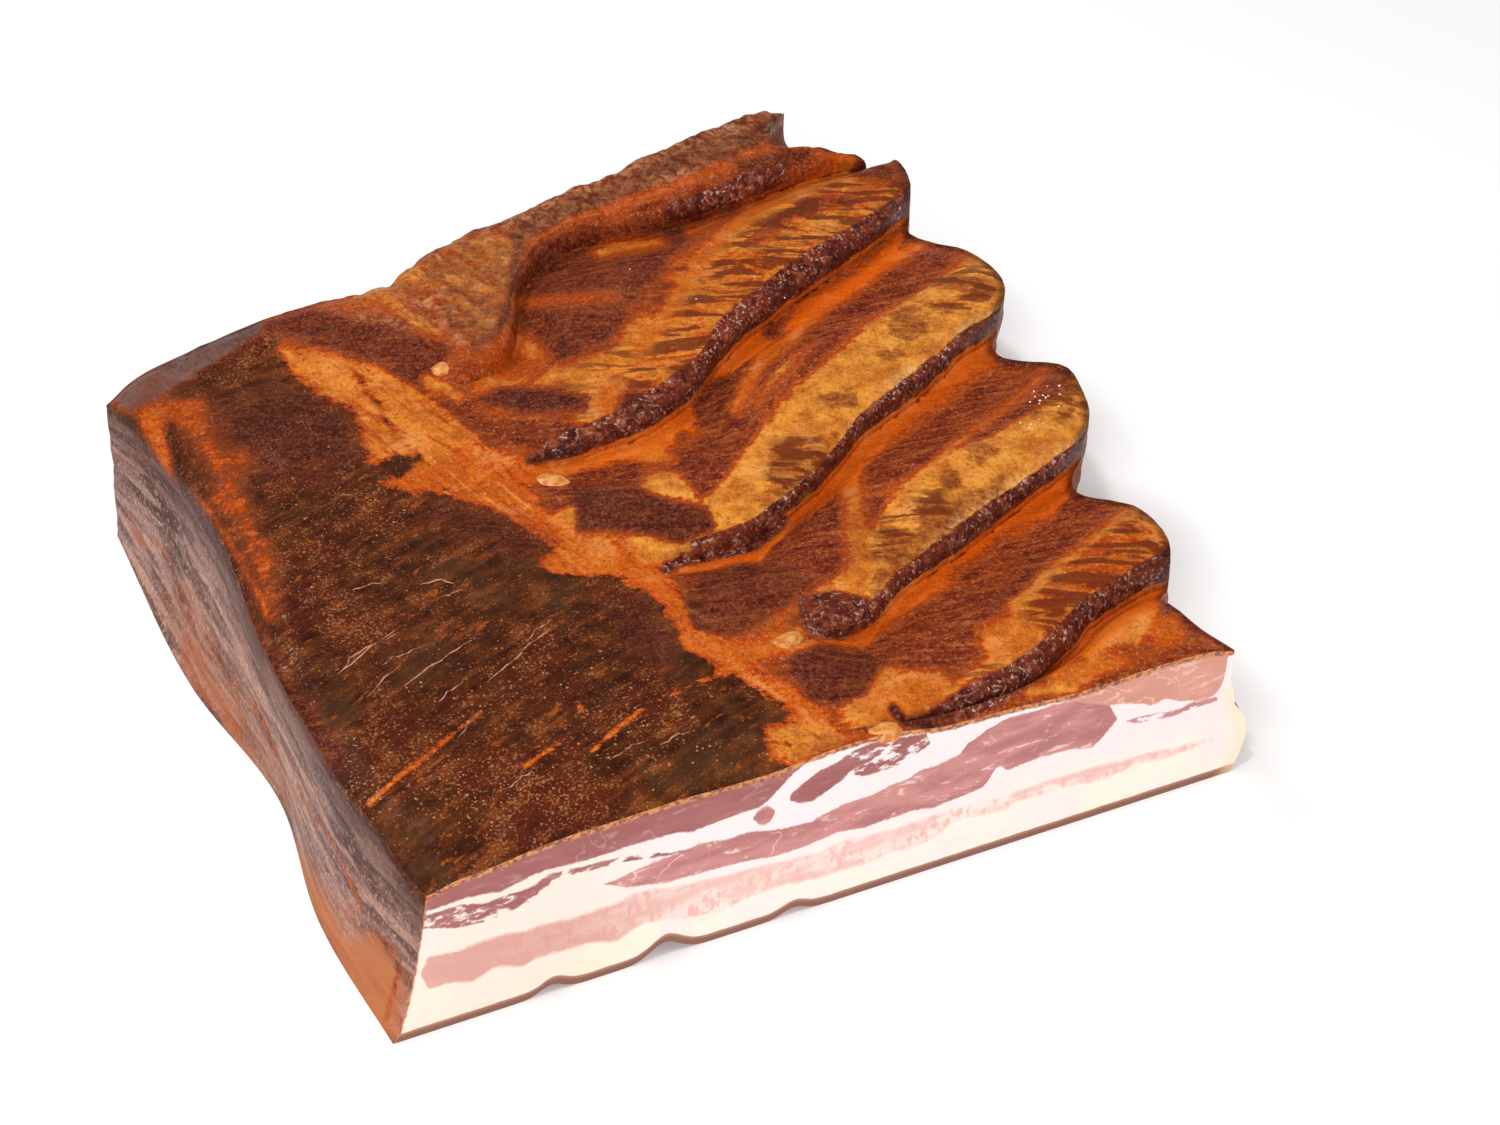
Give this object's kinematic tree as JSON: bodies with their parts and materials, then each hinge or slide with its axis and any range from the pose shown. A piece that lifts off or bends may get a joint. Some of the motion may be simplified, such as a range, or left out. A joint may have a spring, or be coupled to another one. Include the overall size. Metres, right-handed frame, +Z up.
{
  "type": "smoked pork belly slab",
  "caption": "Block of cured and smoked pork belly, rib side up, with the ribs pulled, the rind below and one fresh straight cut along the front.",
  "frame": {"origin": "centre of the footprint, on the table plane under the rind", "axes": "+X along the fresh cut from the loin side to the rib ends, +Y from the cut to the back of the slab, +Z up"},
  "size_m": [0.2199, 0.2266, 0.0459],
  "materials": {
    "smoked_meat": "dark red-brown smoked crust, slightly oily, with one pale pink and white cut face"
  },
  "bodies": {
    "root": {"pork_belly_slab": "smoked_meat"}
  },
  "joints": []
}
